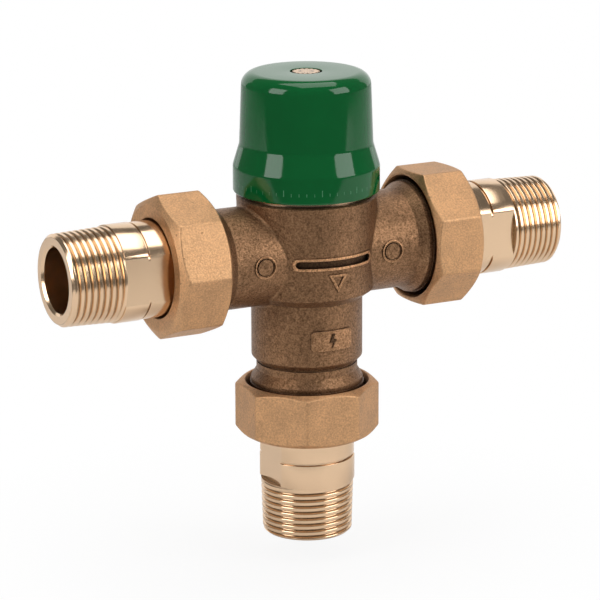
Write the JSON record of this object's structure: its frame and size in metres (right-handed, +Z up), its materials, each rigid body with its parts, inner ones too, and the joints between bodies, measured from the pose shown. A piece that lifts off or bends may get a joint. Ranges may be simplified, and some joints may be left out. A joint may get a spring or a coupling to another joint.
{
  "type": "thermostatic mixing valve",
  "caption": "Upright thermostatic water mixing valve with a green adjusting cap, a cast tee body and threaded tails held by octagonal union nuts.",
  "frame": {"origin": "centre of the outlet tailpiece's end face, the lowest plane of the part", "axes": "+Z up the stem towards the adjusting cap, +X towards the cold inlet, -X towards the hot inlet, -Y the front with the cast marks"},
  "size_m": [0.154, 0.0414, 0.134],
  "materials": {
    "cast_bronze": "sand-cast bronze, matte and fine-grained",
    "nut_brass": "hot-pressed brass, matte, fine shot-blasted grain",
    "turned_brass": "turned brass, bright, fine tool lines",
    "cap_plastic": "glossy green moulded plastic",
    "steel": "stainless spring steel, smooth",
    "strainer_steel": "stainless sheet, satin",
    "seal_rubber": "black EPDM, matte",
    "gasket_fibre": "pressed fibre sheet, matte",
    "white_polymer": "acetal, satin",
    "shuttle_polymer": "glass-filled polymer, satin",
    "copper": "drawn copper, satin"
  },
  "bodies": {
    "valve": {"valve_body": "cast_bronze", "bonnet": "turned_brass", "bonnet_o_ring": "seal_rubber", "spring_seat": "strainer_steel", "seat_retaining_ring": "steel", "return_spring": "steel", "hot_check_housing": "white_polymer", "hot_check_o_ring": "seal_rubber", "hot_check_spring": "steel", "cold_check_housing": "white_polymer", "cold_check_o_ring": "seal_rubber", "cold_check_spring": "steel"},
    "adjuster": {"cap": "cap_plastic", "spindle": "turned_brass", "spindle_o_ring": "seal_rubber", "spindle_clip": "steel"},
    "carrier": {"spring_carrier": "turned_brass", "plunger_stop_ring": "steel", "override_spring": "steel"},
    "pusher": {"plunger": "turned_brass", "element_rod": "steel"},
    "mixing_shuttle": {"shuttle": "shuttle_polymer", "shuttle_o_ring": "seal_rubber", "element_guide": "turned_brass", "element_cup": "copper"},
    "hot_poppet": {"hot_check_poppet": "shuttle_polymer"},
    "cold_poppet": {"cold_check_poppet": "shuttle_polymer"},
    "hot_tail": {"hot_tailpiece": "turned_brass", "hot_gasket": "gasket_fibre", "hot_strainer": "strainer_steel"},
    "cold_tail": {"cold_tailpiece": "turned_brass", "cold_gasket": "gasket_fibre", "cold_strainer": "strainer_steel"},
    "mixed_tail": {"mixed_tailpiece": "turned_brass", "mixed_gasket": "gasket_fibre"},
    "hot_nut": {"hot_union_nut": "nut_brass"},
    "cold_nut": {"cold_union_nut": "nut_brass"},
    "mixed_nut": {"mixed_union_nut": "nut_brass"}
  },
  "joints": [
    {"name": "cap_turn", "type": "hinge", "parent": "valve", "child": "adjuster", "pos_m": [0, 0, 0.083], "axis": [0, 0, 1], "range_deg": [-180, 180]},
    {"name": "carrier_travel", "type": "slide", "parent": "valve", "child": "carrier", "axis": [0, 0, 1], "range_m": [-0.00075, 0.00075]},
    {"name": "plunger_override", "type": "slide", "parent": "carrier", "child": "pusher", "axis": [0, 0, 1], "range_m": [0, 0.002], "stiffness_N_per_m": 5900, "springref_m": -0.005, "deforming": ["override_spring"]},
    {"name": "shuttle_travel", "type": "slide", "parent": "valve", "child": "mixing_shuttle", "axis": [0, 0, 1], "range_m": [-0.0016, 0], "stiffness_N_per_m": 2500, "springref_m": 0.006, "deforming": ["return_spring"]},
    {"name": "hot_check_open", "type": "slide", "parent": "valve", "child": "hot_poppet", "axis": [1, 0, 0], "range_m": [0, 0.0035], "stiffness_N_per_m": 320, "springref_m": -0.002, "deforming": ["hot_check_spring"]},
    {"name": "cold_check_open", "type": "slide", "parent": "valve", "child": "cold_poppet", "axis": [-1, 0, 0], "range_m": [0, 0.0035], "stiffness_N_per_m": 320, "springref_m": -0.002, "deforming": ["cold_check_spring"]},
    {"name": "hot_tail_out", "type": "slide", "parent": "valve", "child": "hot_tail", "axis": [-1, 0, 0], "range_m": [0, 0.00692]},
    {"name": "hot_nut_turn", "type": "hinge", "parent": "hot_tail", "child": "hot_nut", "pos_m": [-0.04, 0, 0.083], "axis": [-1, 0, 0], "range_deg": [0, 1080]},
    {"name": "cold_tail_out", "type": "slide", "parent": "valve", "child": "cold_tail", "axis": [1, 0, 0], "range_m": [0, 0.00692]},
    {"name": "cold_nut_turn", "type": "hinge", "parent": "cold_tail", "child": "cold_nut", "pos_m": [0.04, 0, 0.083], "axis": [1, 0, 0], "range_deg": [0, 1080]},
    {"name": "mixed_tail_out", "type": "slide", "parent": "valve", "child": "mixed_tail", "axis": [0, 0, -1], "range_m": [0, 0.00692]},
    {"name": "mixed_nut_turn", "type": "hinge", "parent": "mixed_tail", "child": "mixed_nut", "pos_m": [0, 0, 0.037], "axis": [0, 0, -1], "range_deg": [0, 1080]}
  ],
  "couplings": [
    {"joint": "cap_turn", "follows": "carrier_travel", "rad_per_m": 4188.8},
    {"joint": "hot_nut_turn", "follows": "hot_tail_out", "rad_per_m": 2721.2},
    {"joint": "cold_nut_turn", "follows": "cold_tail_out", "rad_per_m": 2721.2},
    {"joint": "mixed_nut_turn", "follows": "mixed_tail_out", "rad_per_m": 2721.2}
  ]
}
